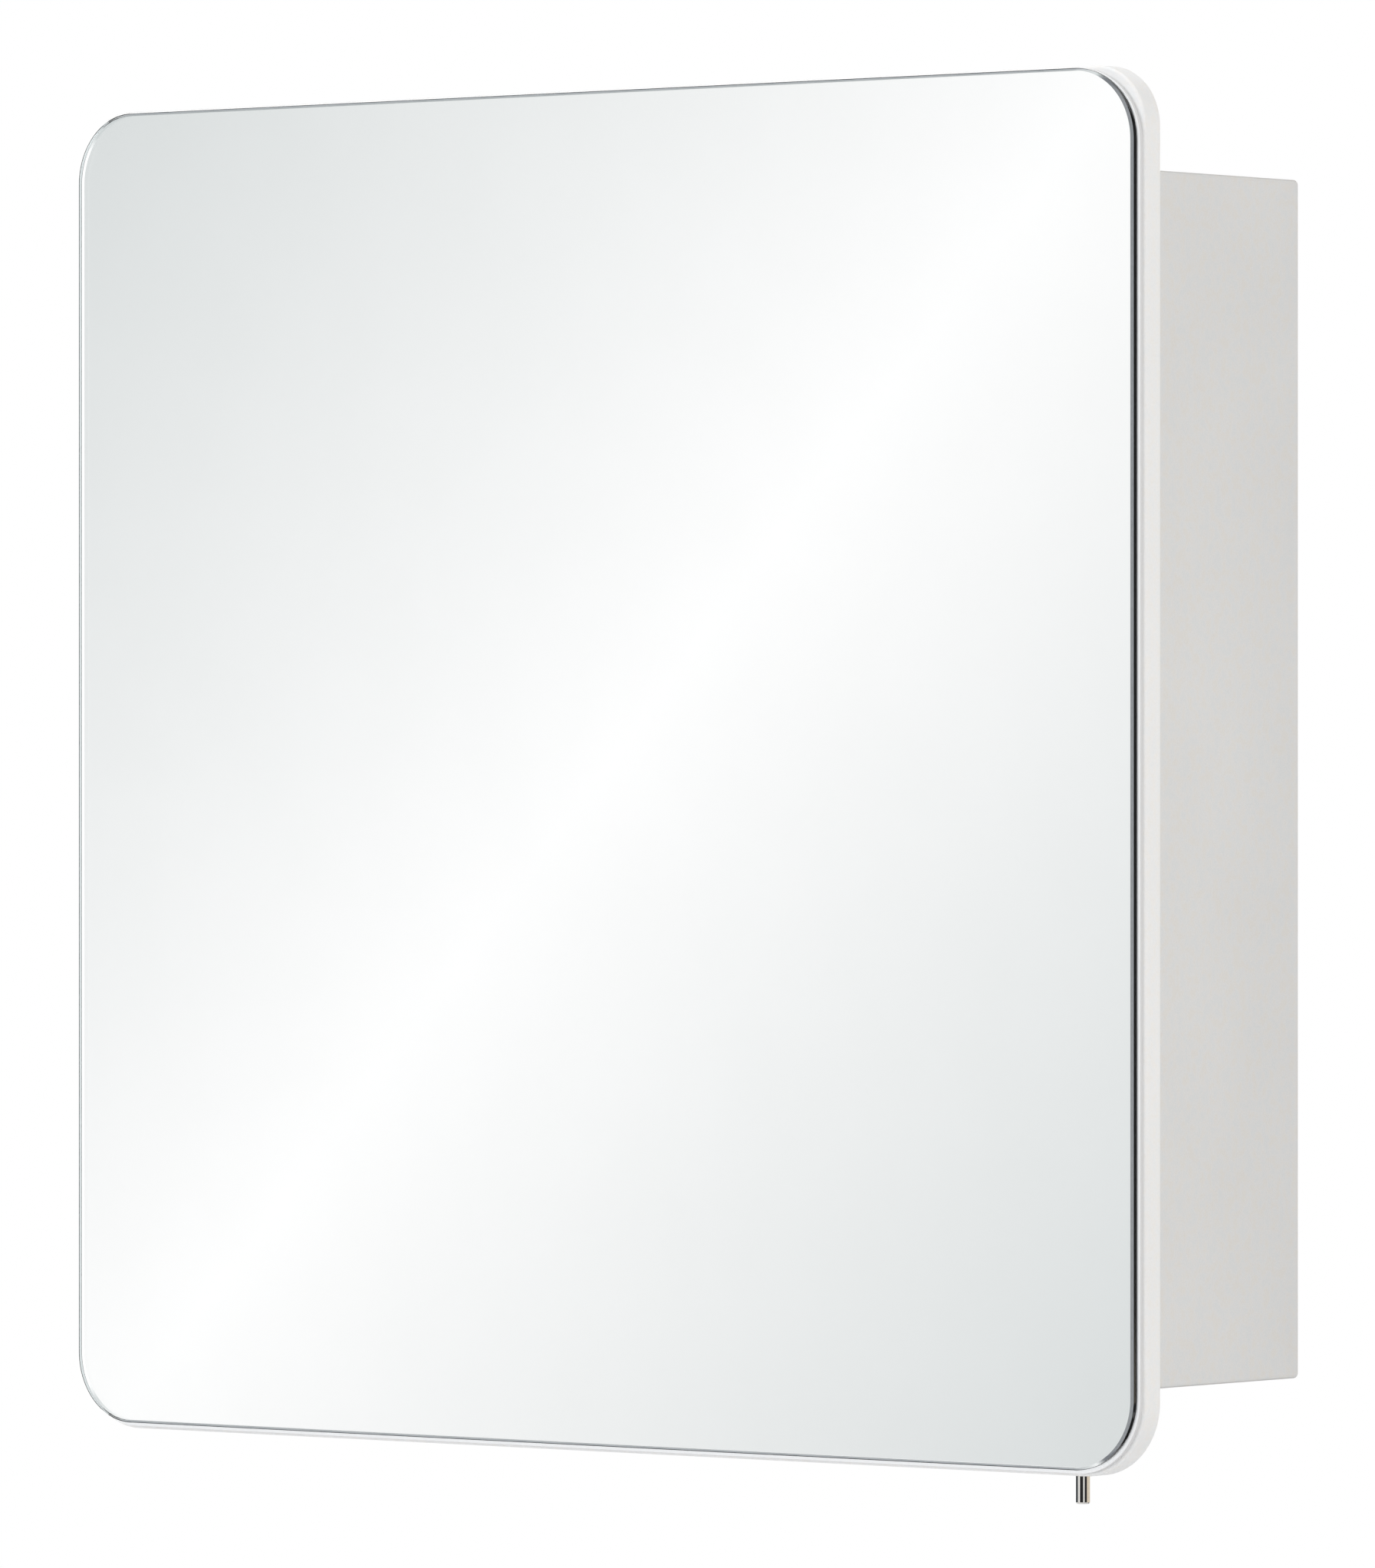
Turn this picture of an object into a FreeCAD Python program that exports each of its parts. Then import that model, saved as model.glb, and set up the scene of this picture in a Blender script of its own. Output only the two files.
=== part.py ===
import FreeCAD, Part
import os

# A wall-hung bathroom mirror cabinet. A flat box of bent sheet steel holds two glass shelves.
# A wider square door with a frameless mirror closes it and turns on two butt hinges at the left.
# Millimetres. X runs right as seen from the front, Y runs into the wall and Z runs up.
# The origin is the middle of the four wall-screw holes, on the rear face that lies on the wall.

# Door and its overhang past the box
door_width = 500.0
door_height = 499.0
door_depth = 9.0
door_corner_radius = 23.5
side_overhang = 32.0
top_overhang = 34.6
bottom_overhang = 28.4

# Sheet metal
sheet = 1.0
bend_inside = 0.5
door_bend_inside = 0.2
flange_width = 12.0
seam_gap = 0.3

# Box
body_depth = 128.0
body_corner_radius = 2.0
wall_hole_inset = 68.0
wall_hole_diameter = 6.5

# Mirror, the tape that holds it and the thin carrier plate on the door's front
mirror_thickness = 3.0
mirror_side_inset = 1.6
mirror_end_inset = 1.7
mirror_lift = 0.7
mirror_corner_radius = 26.0
glass_arris = 0.65
silvering_thickness = 0.2
silvering_inset = 0.7
tape_thickness = 0.6
tape_width = 15.0
tape_inset = 0.6
carrier_thickness = 1.8
carrier_inset = 1.0
carrier_corner_radius = 27.0

# Shelves on welded brackets with rubber pads
shelf_names = ("lower", "upper")
shelf_thickness = 5.0
shelf_side_clearance = 1.5
shelf_front_set_back = 10.0
shelf_rear_clearance = 2.0
shelf_corner_radius = 3.0
bracket_sheet = 1.2
bracket_reach = 10.0
bracket_width = 14.0
bracket_drop = 14.0
bracket_set_in = 10.0
pad_diameter = 7.0
pad_thickness = 1.5

# Butt hinges
hinge_names = ("lower", "upper")
hinge_set_in = 70.0
hinge_height = 60.0
door_knuckle_length = 24.0
leaf_thickness = 1.2
leaf_clearance = 0.6
leaf_corner_radius = 3.0
leaf_edge_margin = 1.0
knuckle_radius = 3.2
knuckle_gap = 0.3
barrel_side_clearance = 0.5
barrel_door_clearance = 0.3
hinge_pin_radius = 1.5
hinge_pin_clearance = 0.05
hinge_pin_head_radius = 2.6
hinge_pin_head_height = 1.2
hinge_pin_head_round = 0.8

# Screws that hold the hinges to the door, and the tapped plates behind them
screw_radius = 2.0
screw_end_length = 1.5
screw_head_radius = 3.8
screw_head_height = 2.2
screw_head_round = 0.8
screw_recess_length = 4.0
screw_recess_width = 0.9
screw_recess_depth = 1.2
screw_hole_clearance = 0.2
screw_spacing = 36.0
screw_from_flange = 8.0
screw_edge_distance = 7.0
thread_clearance = 0.05
tapped_plate_thickness = 3.0
tapped_plate_width = 22.0
tapped_plate_margin = 9.0

# Handle pin under the door
handle_radius = 2.5
handle_length = 10.0
handle_end_round = 0.6
handle_from_corner = 7.0
spigot_radius = 2.0
boss_height = 9.0
boss_width = 14.0
boss_clearance = 0.3

# Push-in magnets and rubber buffers on the right front flange
magnet_spacing = 120.0
magnet_radius = 2.4
magnet_length = 4.0
cup_radius = 4.2
cup_shank_radius = 3.1
cup_shank_length = 6.0
cup_lip = 0.4
cup_lip_length = 1.0
cup_hole_clearance = 0.1
buffer_set_in = 60.0
buffer_radius = 4.0
buffer_round = 0.6
closing_clearance = 0.3

right = FreeCAD.Vector(1, 0, 0)
into_wall = FreeCAD.Vector(0, 1, 0)
up = FreeCAD.Vector(0, 0, 1)
origin = FreeCAD.Vector(0, 0, 0)
quarter_turn = 90
tolerance = 1e-6

# Planes of the box
body_half_width = door_width / 2 - side_overhang
body_height = door_height - top_overhang - bottom_overhang
body_top = body_height / 2
body_bottom = -body_height / 2
back_front = -sheet
body_front = -body_depth
inner_half_width = body_half_width - sheet
bend_outside = bend_inside + sheet

# Planes of the door, which stands off the box by the two hinge leaves
door_gap = 2 * leaf_thickness + leaf_clearance
door_rear = body_front - door_gap
door_front = door_rear - door_depth
door_middle_depth = (door_front + door_rear) / 2
door_bottom = body_bottom - bottom_overhang
door_middle = door_bottom + door_height / 2
carrier_front = door_front - carrier_thickness
mirror_rear = carrier_front - tape_thickness
silvering_front = mirror_rear - silvering_thickness
mirror_front = mirror_rear - mirror_thickness
mirror_middle = door_middle + mirror_lift

# Turning axis of the door, beside the left side of the box
hinge_x = -body_half_width - barrel_side_clearance - knuckle_radius
hinge_y = door_rear + barrel_door_clearance + knuckle_radius
leaf_notch_x = hinge_x + knuckle_radius + knuckle_gap
screw_x = -body_half_width + flange_width + screw_from_flange

# Middle of the flat part of the right front flange
flange_middle_x = body_half_width - (flange_width + bend_outside) / 2


def box(x_from, x_to, y_from, y_to, z_from, z_to):
    corner = FreeCAD.Vector(x_from, y_from, z_from)
    return Part.makeBox(x_to - x_from, y_to - y_from, z_to - z_from, corner)


def rod(radius, start, end):
    axis = end - start
    return Part.makeCylinder(radius, axis.Length, start, axis)


def edges_along(edges, direction):
    found = []
    for edge in edges:
        along = edge.tangentAt(edge.FirstParameter).dot(direction)
        if len(edge.Vertexes) == 2 and abs(abs(along) - 1) < tolerance:
            found.append(edge)
    return found


def edges_on_plane(edges, direction, level):
    found = []
    for edge in edges:
        middle = edge.valueAt((edge.FirstParameter + edge.LastParameter) / 2)
        points = [vertex.Point for vertex in edge.Vertexes] + [middle]
        if all(abs(point.dot(direction) - level) < tolerance for point in points):
            found.append(edge)
    return found


def moved(shape, axis, angle, position):
    shape.rotate(origin, axis, angle)
    shape.translate(position)
    return shape


def rounded_plate(width, height, thickness, radius):
    plate = Part.makeBox(width, height, thickness, FreeCAD.Vector(-width / 2, -height / 2, 0))
    return plate.makeFillet(radius, edges_along(plate.Edges, up))


# A sheet pan, closed at its lower face, with a rim that rises to the given depth
def pan(width, height, depth, corner_radius, inside_bend):
    outer = rounded_plate(width, height, depth, corner_radius)
    outer = outer.makeFillet(inside_bend + sheet, edges_on_plane(outer.Edges, up, 0))
    inner = rounded_plate(width - 2 * sheet, height - 2 * sheet, depth, corner_radius - sheet)
    inner.translate(up * sheet)
    inner = inner.makeFillet(inside_bend, edges_on_plane(inner.Edges, up, sheet))
    return outer.cut(inner)


def left_side_pan():
    depth = body_depth - sheet
    side = pan(body_height, depth, flange_width, body_corner_radius, bend_inside)
    place = FreeCAD.Vector(-body_half_width, back_front - depth / 2, 0)
    return moved(side, into_wall, quarter_turn, place)


def right_side_pan():
    side = left_side_pan().mirror(origin, right)
    radius = cup_shank_radius + cup_hole_clearance
    for level in magnet_levels():
        start = FreeCAD.Vector(flange_middle_x, body_front - sheet, level)
        side = side.cut(rod(radius, start, start + into_wall * 3 * sheet))
    return side


# The top panel is an angle between the side pans, with a tab at each end under their flanges
def top_panel():
    main_half = body_half_width - flange_width - seam_gap
    tab_half = inner_half_width - bend_inside - seam_gap
    upper_face = body_top - sheet
    lower_face = upper_face - sheet
    flange_end = body_top - flange_width
    outer = box(-main_half, main_half, body_front, back_front, flange_end, upper_face)
    bend = edges_on_plane(edges_on_plane(outer.Edges, up, upper_face), into_wall, body_front)
    outer = outer.makeFillet(bend_outside, bend)
    inner_front = body_front + sheet
    inner = box(-body_half_width, body_half_width, inner_front, 0, flange_end - sheet, lower_face)
    bend = edges_on_plane(edges_on_plane(inner.Edges, up, lower_face), into_wall, inner_front)
    inner = inner.makeFillet(bend_inside, bend)
    tab_front = body_front + body_corner_radius + seam_gap
    tab_rear = back_front - body_corner_radius - seam_gap
    tabs = box(-tab_half, tab_half, tab_front, tab_rear, lower_face, upper_face)
    return outer.cut(inner).fuse(tabs).removeSplitter()


def bottom_panel():
    return top_panel().mirror(origin, up)


# The back panel lies on the flat part of the rear flanges and on the ends of the top and bottom
def back_panel():
    width = 2 * (body_half_width - bend_outside)
    height = body_height - 2 * bend_outside
    plate = moved(rounded_plate(width, height, sheet, body_corner_radius), right, quarter_turn, origin)
    for x in (-1, 1):
        for z in (-1, 1):
            centre = FreeCAD.Vector(x * (body_half_width - wall_hole_inset), -2 * sheet,
                                    z * (body_height / 2 - wall_hole_inset))
            plate = plate.cut(rod(wall_hole_diameter / 2, centre, centre + into_wall * 4 * sheet))
    return plate


# The shelves part the clear height of the box into equal compartments
def shelf_underside(index):
    clear_bottom = body_bottom + 2 * sheet
    clear_height = body_height - 4 * sheet
    middle = clear_bottom + clear_height * (index + 1) / (len(shelf_names) + 1)
    return middle - shelf_thickness / 2


def shelf_depth_range():
    front = body_front + sheet + shelf_front_set_back
    rear = back_front - sheet - shelf_rear_clearance
    return front, rear


def shelf(underside):
    front, rear = shelf_depth_range()
    width = 2 * (inner_half_width - shelf_side_clearance)
    plate = rounded_plate(width, rear - front, shelf_thickness, shelf_corner_radius)
    plate = plate.makeChamfer(glass_arris, edges_on_plane(plate.Edges, up, 0))
    plate = plate.makeChamfer(glass_arris, edges_on_plane(plate.Edges, up, shelf_thickness))
    plate.translate(FreeCAD.Vector(0, (front + rear) / 2, underside))
    return plate


def bracket_middles():
    front, rear = shelf_depth_range()
    return (front + bracket_set_in + bracket_width / 2, rear - bracket_set_in - bracket_width / 2)


# Angles welded inside the side pans, with the ledge on top and the leg hanging down
def shelf_brackets(underside):
    ledge_top = underside - pad_thickness
    angles = []
    for middle in bracket_middles():
        y_from = middle - bracket_width / 2
        y_to = middle + bracket_width / 2
        ledge = box(inner_half_width - bracket_reach, inner_half_width, y_from, y_to,
                    ledge_top - bracket_sheet, ledge_top)
        leg = box(inner_half_width - bracket_sheet, inner_half_width, y_from, y_to,
                  ledge_top - bracket_drop, ledge_top)
        angle = ledge.fuse(leg).removeSplitter()
        angles.append(angle)
        angles.append(angle.mirror(origin, right))
    return Part.makeCompound(angles)


def shelf_pads(underside):
    pads = []
    for middle in bracket_middles():
        for side in (-1, 1):
            centre = FreeCAD.Vector(side * (inner_half_width - bracket_reach / 2), middle, underside)
            pads.append(rod(pad_diameter / 2, centre - up * pad_thickness, centre))
    return Part.makeCompound(pads)


def hinge_middle(index):
    spread = body_height / 2 - hinge_set_in
    return (-spread, spread)[index]


def knuckle(z_from, z_to):
    start = FreeCAD.Vector(hinge_x, hinge_y, z_from)
    return rod(knuckle_radius, start, start + up * (z_to - z_from))


def hinge_bore(middle):
    start = FreeCAD.Vector(hinge_x, hinge_y, middle - hinge_height)
    return rod(hinge_pin_radius + hinge_pin_clearance, start, start + up * 2 * hinge_height)


# The fixed leaf is welded to the left front flange and has the two outer knuckles
def hinge_body_leaf(middle):
    bottom = middle - hinge_height / 2
    top = middle + hinge_height / 2
    notch_low = middle - door_knuckle_length / 2 - knuckle_gap
    notch_high = middle + door_knuckle_length / 2 + knuckle_gap
    plate_edge = -body_half_width + flange_width - leaf_edge_margin
    plate = box(hinge_x, plate_edge, body_front - leaf_thickness, body_front, bottom, top)
    notch = box(hinge_x, leaf_notch_x, body_front - leaf_thickness, body_front, notch_low, notch_high)
    leaf = plate.cut(notch).fuse([knuckle(bottom, notch_low), knuckle(notch_high, top)])
    return leaf.cut(hinge_bore(middle)).removeSplitter()


def screw_places(middle):
    return [FreeCAD.Vector(screw_x, door_rear, middle + side * screw_spacing / 2) for side in (-1, 1)]


# The moving leaf is screwed to the rear of the door and has the middle knuckle
def hinge_door_leaf(middle):
    bottom = middle - hinge_height / 2
    top = middle + hinge_height / 2
    knuckle_low = middle - door_knuckle_length / 2
    knuckle_high = middle + door_knuckle_length / 2
    leaf_rear = door_rear + leaf_thickness
    leaf_edge = screw_x + screw_edge_distance
    plate = box(leaf_notch_x, leaf_edge, door_rear, leaf_rear, bottom, top)
    corners = edges_along(edges_on_plane(plate.Edges, right, leaf_edge), into_wall)
    plate = plate.makeFillet(leaf_corner_radius, corners)
    strap = box(hinge_x, leaf_notch_x, door_rear, leaf_rear, knuckle_low, knuckle_high)
    leaf = plate.fuse([strap, knuckle(knuckle_low, knuckle_high)])
    leaf = leaf.cut(hinge_bore(middle))
    for place in screw_places(middle):
        hole = rod(screw_radius + screw_hole_clearance, place - into_wall * leaf_thickness,
                   place + into_wall * 2 * leaf_thickness)
        leaf = leaf.cut(hole)
    return leaf.removeSplitter()


def hinge_pin(middle):
    bottom = FreeCAD.Vector(hinge_x, hinge_y, middle - hinge_height / 2)
    top = bottom + up * hinge_height
    head_top = top + up * hinge_pin_head_height
    head = rod(hinge_pin_head_radius, top, head_top)
    head = head.makeFillet(hinge_pin_head_round, edges_on_plane(head.Edges, up, head_top.z))
    foot_end = bottom - up * hinge_pin_head_height
    foot = rod(hinge_pin_head_radius, foot_end, bottom)
    foot = foot.makeFillet(hinge_pin_head_round, edges_on_plane(foot.Edges, up, foot_end.z))
    return rod(hinge_pin_radius, bottom, top).fuse([head, foot]).removeSplitter()


def tapped_plate(middle):
    plate_rear = door_rear - sheet
    plate = box(screw_x - tapped_plate_width / 2, screw_x + tapped_plate_width / 2,
                plate_rear - tapped_plate_thickness, plate_rear,
                middle - screw_spacing / 2 - tapped_plate_margin,
                middle + screw_spacing / 2 + tapped_plate_margin)
    for place in screw_places(middle):
        hole = rod(screw_radius + thread_clearance, place - into_wall * door_depth, place)
        plate = plate.cut(hole)
    return plate


# A pan-head screw with a cross recess, driven from the rear of the door leaf
def hinge_screw(place):
    seat = place + into_wall * leaf_thickness
    crown = seat + into_wall * screw_head_height
    head = rod(screw_head_radius, seat, crown)
    head = head.makeFillet(screw_head_round, edges_on_plane(head.Edges, into_wall, crown.y))
    grip = leaf_thickness + sheet + tapped_plate_thickness
    screw = head.fuse(rod(screw_radius, seat - into_wall * (grip + screw_end_length), seat))
    long_half = screw_recess_length / 2
    short_half = screw_recess_width / 2
    floor = crown.y - screw_recess_depth
    level_slot = box(place.x - long_half, place.x + long_half, floor, crown.y,
                     place.z - short_half, place.z + short_half)
    upright_slot = box(place.x - short_half, place.x + short_half, floor, crown.y,
                       place.z - long_half, place.z + long_half)
    return screw.cut(level_slot.fuse(upright_slot)).removeSplitter()


def hinge_screws(middle):
    return Part.makeCompound([hinge_screw(place) for place in screw_places(middle)])


def handle_place():
    x = door_width / 2 - door_corner_radius - handle_from_corner
    return FreeCAD.Vector(x, door_middle_depth, door_bottom)


# Both rims of the door lie inside each other, so its hollow starts two sheets and a seam further in
def hollow_inset():
    return 2 * sheet + seam_gap


def handle_hole():
    start = handle_place()
    return rod(spigot_radius + screw_hole_clearance, start - up * sheet, start + up * door_corner_radius)


def door_tray():
    tray = pan(door_width, door_height, door_depth, door_corner_radius, door_bend_inside)
    tray = moved(tray, right, -quarter_turn, FreeCAD.Vector(0, door_front, door_middle))
    return tray.cut(handle_hole())


# The rear of the door is a second pan, nested in the tray with its rim against the front sheet
def door_back_plate():
    inset = sheet + seam_gap
    plate = pan(door_width - 2 * inset, door_height - 2 * inset, door_depth - sheet,
                door_corner_radius - inset, door_bend_inside)
    plate = moved(plate, right, quarter_turn, FreeCAD.Vector(0, door_rear, door_middle))
    for index in range(len(hinge_names)):
        for place in screw_places(hinge_middle(index)):
            hole = rod(screw_radius + screw_hole_clearance, place - into_wall * 2 * sheet,
                       place + into_wall * sheet)
            plate = plate.cut(hole)
    return plate.cut(handle_hole())


def mirror_carrier():
    plate = rounded_plate(door_width - 2 * carrier_inset, door_height - 2 * carrier_inset,
                          carrier_thickness, carrier_corner_radius)
    return moved(plate, right, -quarter_turn, FreeCAD.Vector(0, carrier_front, door_middle))


# A plate of the mirror's own outline, drawn in by the given inset, with its front face at the given depth
def mirror_outline(inset, front, thickness):
    width = door_width - 2 * (mirror_side_inset + inset)
    height = door_height - 2 * (mirror_end_inset + inset)
    plate = rounded_plate(width, height, thickness, mirror_corner_radius - inset)
    return moved(plate, right, -quarter_turn, FreeCAD.Vector(0, front, mirror_middle))


def mirror_glass():
    glass = mirror_outline(0, mirror_front, mirror_thickness - silvering_thickness)
    for level in (mirror_front, silvering_front):
        glass = glass.makeChamfer(glass_arris, edges_on_plane(glass.Edges, into_wall, level))
    return glass


def mirror_silvering():
    return mirror_outline(silvering_inset, silvering_front, silvering_thickness)


# One frame of foam tape, just inside the edge of the mirror
def mirror_tape():
    outer = mirror_outline(tape_inset, mirror_rear, tape_thickness)
    inner = mirror_outline(tape_inset + tape_width, mirror_rear, tape_thickness)
    return outer.cut(inner)


def handle_pin():
    seat = handle_place()
    end = seat - up * handle_length
    grip = rod(handle_radius, end, seat)
    grip = grip.makeFillet(handle_end_round, edges_on_plane(grip.Edges, up, end.z))
    spigot_top = seat + up * (hollow_inset() + boss_height)
    return grip.fuse(rod(spigot_radius, seat, spigot_top)).removeSplitter()


# A tapped block in the door's hollow, shaped to the rounded corner where it stands on the rim
def handle_boss():
    seat = handle_place()
    inset = hollow_inset()
    half_depth = door_depth / 2 - sheet - boss_clearance
    block = box(seat.x - boss_width / 2, seat.x + boss_width / 2, seat.y - half_depth,
                seat.y + half_depth, seat.z, seat.z + inset + boss_height)
    hollow = rounded_plate(door_width - 2 * inset, door_height - 2 * inset, door_depth,
                           door_corner_radius - inset)
    hollow = moved(hollow, right, -quarter_turn, FreeCAD.Vector(0, door_front, door_middle))
    hole = rod(spigot_radius + thread_clearance, seat, seat + up * door_corner_radius)
    return block.common(hollow).cut(hole)


def magnet_levels():
    return (-magnet_spacing / 2, magnet_spacing / 2)


# A plastic cup pushed into the flange, with a snap lip behind it and a magnet in its face
def magnet_cup(level):
    seat = FreeCAD.Vector(flange_middle_x, body_front, level)
    face = seat - into_wall * (door_gap - closing_clearance)
    lip_start = seat + into_wall * (sheet + cup_hole_clearance)
    head = rod(cup_radius, face, seat)
    shank = rod(cup_shank_radius, seat, seat + into_wall * cup_shank_length)
    lip = rod(cup_shank_radius + cup_lip, lip_start, lip_start + into_wall * cup_lip_length)
    pocket = rod(magnet_radius + thread_clearance, face, face + into_wall * magnet_length)
    return head.fuse([shank, lip]).cut(pocket).removeSplitter()


def magnet_cups():
    return Part.makeCompound([magnet_cup(level) for level in magnet_levels()])


def magnets():
    discs = []
    for level in magnet_levels():
        face = FreeCAD.Vector(flange_middle_x, body_front - door_gap + closing_clearance, level)
        discs.append(rod(magnet_radius, face, face + into_wall * magnet_length))
    return Part.makeCompound(discs)


def door_buffers():
    buffers = []
    for side in (-1, 1):
        level = side * (body_height / 2 - buffer_set_in)
        seat = FreeCAD.Vector(flange_middle_x, body_front, level)
        face = seat - into_wall * (door_gap - closing_clearance)
        disc = rod(buffer_radius, face, seat)
        buffers.append(disc.makeFillet(buffer_round, edges_on_plane(disc.Edges, into_wall, face.y)))
    return Part.makeCompound(buffers)


def all_pieces():
    pieces = {
        "left_side_pan": left_side_pan(),
        "right_side_pan": right_side_pan(),
        "top_panel": top_panel(),
        "bottom_panel": bottom_panel(),
        "back_panel": back_panel(),
        "magnet_cups": magnet_cups(),
        "magnets": magnets(),
        "door_buffers": door_buffers(),
        "door_tray": door_tray(),
        "door_back_plate": door_back_plate(),
        "mirror_carrier": mirror_carrier(),
        "mirror_glass": mirror_glass(),
        "mirror_silvering": mirror_silvering(),
        "mirror_tape": mirror_tape(),
        "handle_pin": handle_pin(),
        "handle_boss": handle_boss(),
    }
    for index, name in enumerate(shelf_names):
        underside = shelf_underside(index)
        pieces[name + "_shelf"] = shelf(underside)
        pieces[name + "_shelf_brackets"] = shelf_brackets(underside)
        pieces[name + "_shelf_pads"] = shelf_pads(underside)
    for index, name in enumerate(hinge_names):
        middle = hinge_middle(index)
        pieces[name + "_hinge_body_leaf"] = hinge_body_leaf(middle)
        pieces[name + "_hinge_door_leaf"] = hinge_door_leaf(middle)
        pieces[name + "_hinge_pin"] = hinge_pin(middle)
        pieces[name + "_hinge_screws"] = hinge_screws(middle)
        pieces[name + "_hinge_tapped_plate"] = tapped_plate(middle)
    return pieces


os.makedirs("parts", exist_ok=True)
for name, shape in all_pieces().items():
    print(name, "solids", len(shape.Solids), "valid", shape.isValid(), "mm3", round(shape.Volume, 1))
    shape.exportStep(os.path.join("parts", name + ".step"))
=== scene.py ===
import bpy
import bmesh
import math
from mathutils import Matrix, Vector


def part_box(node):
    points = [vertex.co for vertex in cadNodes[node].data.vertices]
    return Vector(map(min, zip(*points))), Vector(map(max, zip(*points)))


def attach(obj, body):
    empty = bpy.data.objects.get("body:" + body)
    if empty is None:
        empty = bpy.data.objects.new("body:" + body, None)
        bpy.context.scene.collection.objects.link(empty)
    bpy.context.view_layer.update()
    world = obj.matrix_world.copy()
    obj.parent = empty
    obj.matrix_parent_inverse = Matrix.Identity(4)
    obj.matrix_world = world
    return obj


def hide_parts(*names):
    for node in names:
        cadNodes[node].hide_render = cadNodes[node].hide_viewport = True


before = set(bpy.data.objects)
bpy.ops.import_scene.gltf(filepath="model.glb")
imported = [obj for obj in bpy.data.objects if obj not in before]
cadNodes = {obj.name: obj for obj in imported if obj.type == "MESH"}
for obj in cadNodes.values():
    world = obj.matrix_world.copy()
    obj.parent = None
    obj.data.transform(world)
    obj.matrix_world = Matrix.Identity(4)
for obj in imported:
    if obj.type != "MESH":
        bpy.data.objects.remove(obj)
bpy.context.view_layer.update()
print("frame loaded,", len(cadNodes), "nodes")

white = (1, 1, 1)
samePlace = 1e-6                 # metres
# how far a face's normal points along an axis: a flat face more than this, an arris and an edge less
flatNormal = 0.99
arrisNormal = 0.95
edgeNormal = 0.1
noiseLow, noiseHigh = 0.3, 0.7   # most of a noise lies between these


# selecting and shaping

def deselectAll():
    if bpy.context.object and bpy.context.object.mode != "OBJECT":
        bpy.ops.object.mode_set(mode="OBJECT")
    bpy.ops.object.select_all(action="DESELECT")


def addBlock(name, low, high):
    deselectAll()
    middle = [(a + b) / 2 for a, b in zip(low, high)]
    bpy.ops.mesh.primitive_cube_add(size=1, location=middle)
    block = bpy.context.object
    block.name = name
    block.scale = [b - a for a, b in zip(low, high)]
    bpy.ops.object.transform_apply(location=True, rotation=True, scale=True)
    return block


def addRod(name, middle, radius, length, sides):
    deselectAll()
    bpy.ops.mesh.primitive_cylinder_add(vertices=sides, radius=radius, depth=length, location=middle)
    rod = bpy.context.object
    rod.name = name
    bpy.ops.object.transform_apply(location=True, rotation=True, scale=True)
    return rod


def startEdit(piece):
    deselectAll()
    piece.select_set(True)
    bpy.context.view_layer.objects.active = piece
    bpy.ops.object.mode_set(mode="EDIT")


def pickEdges(piece, rule):
    bpy.ops.mesh.select_mode(type="EDGE")
    bpy.ops.mesh.select_all(action="DESELECT")
    cage = bmesh.from_edit_mesh(piece.data)
    for edge in cage.edges:
        if rule(edge):
            edge.select_set(True)
    bmesh.update_edit_mesh(piece.data)


def pickFaces(piece, rule):
    bpy.ops.mesh.select_mode(type="FACE")
    bpy.ops.mesh.select_all(action="DESELECT")
    cage = bmesh.from_edit_mesh(piece.data)
    cage.normal_update()
    for face in cage.faces:
        if rule(face):
            face.select_set(True)
    bmesh.update_edit_mesh(piece.data)


def runsAlong(axis):
    others = [i for i in range(3) if i != axis]

    def rule(edge):
        a, b = edge.verts[0].co, edge.verts[1].co
        return all(abs(a[i] - b[i]) < samePlace for i in others)
    return rule


def liesAt(axis, level):
    def rule(part):
        return all(abs(v.co[axis] - level) < samePlace for v in part.verts)
    return rule


def facesTowards(direction):
    way = Vector(direction)

    def rule(face):
        return face.normal.dot(way) > flatNormal
    return rule


def roundOff(radius, steps):
    bpy.ops.mesh.bevel(offset=radius, offset_type="OFFSET", segments=steps, profile=0.5, affect="EDGES")


def finishSmooth(piece, angle):
    deselectAll()
    piece.select_set(True)
    bpy.context.view_layer.objects.active = piece
    bpy.ops.object.shade_smooth_by_angle(angle=math.radians(angle))
    evenOut = piece.modifiers.new("flatFaces", "WEIGHTED_NORMAL")
    evenOut.keep_sharp = True
    bpy.ops.object.modifier_apply(modifier="flatFaces")


def paintFaces(piece, materials, rules):
    for material in materials:
        piece.data.materials.append(material)
    startEdit(piece)
    for index, rule in rules:
        pickFaces(piece, rule)
        piece.active_material_index = index
        bpy.ops.object.material_slot_assign()
    bpy.ops.object.mode_set(mode="OBJECT")


# materials

def newMaterial(name):
    material = bpy.data.materials.new(name)
    material.use_nodes = True
    tree = material.node_tree
    return material, tree, tree.nodes["Principled BSDF"]


def addNoise(tree, scale, detail, stretch=None):
    place = tree.nodes.new("ShaderNodeTexCoord").outputs["Object"]
    if stretch:
        mapping = tree.nodes.new("ShaderNodeMapping")
        mapping.inputs["Scale"].default_value = stretch
        tree.links.new(place, mapping.inputs["Vector"])
        place = mapping.outputs["Vector"]
    noise = tree.nodes.new("ShaderNodeTexNoise")
    noise.inputs["Scale"].default_value = scale
    noise.inputs["Detail"].default_value = detail
    tree.links.new(place, noise.inputs["Vector"])
    return noise.outputs["Fac"]


def addPlace(tree, kind="Object"):
    split = tree.nodes.new("ShaderNodeSeparateXYZ")
    tree.links.new(tree.nodes.new("ShaderNodeTexCoord").outputs[kind], split.inputs["Vector"])
    return split.outputs


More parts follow.
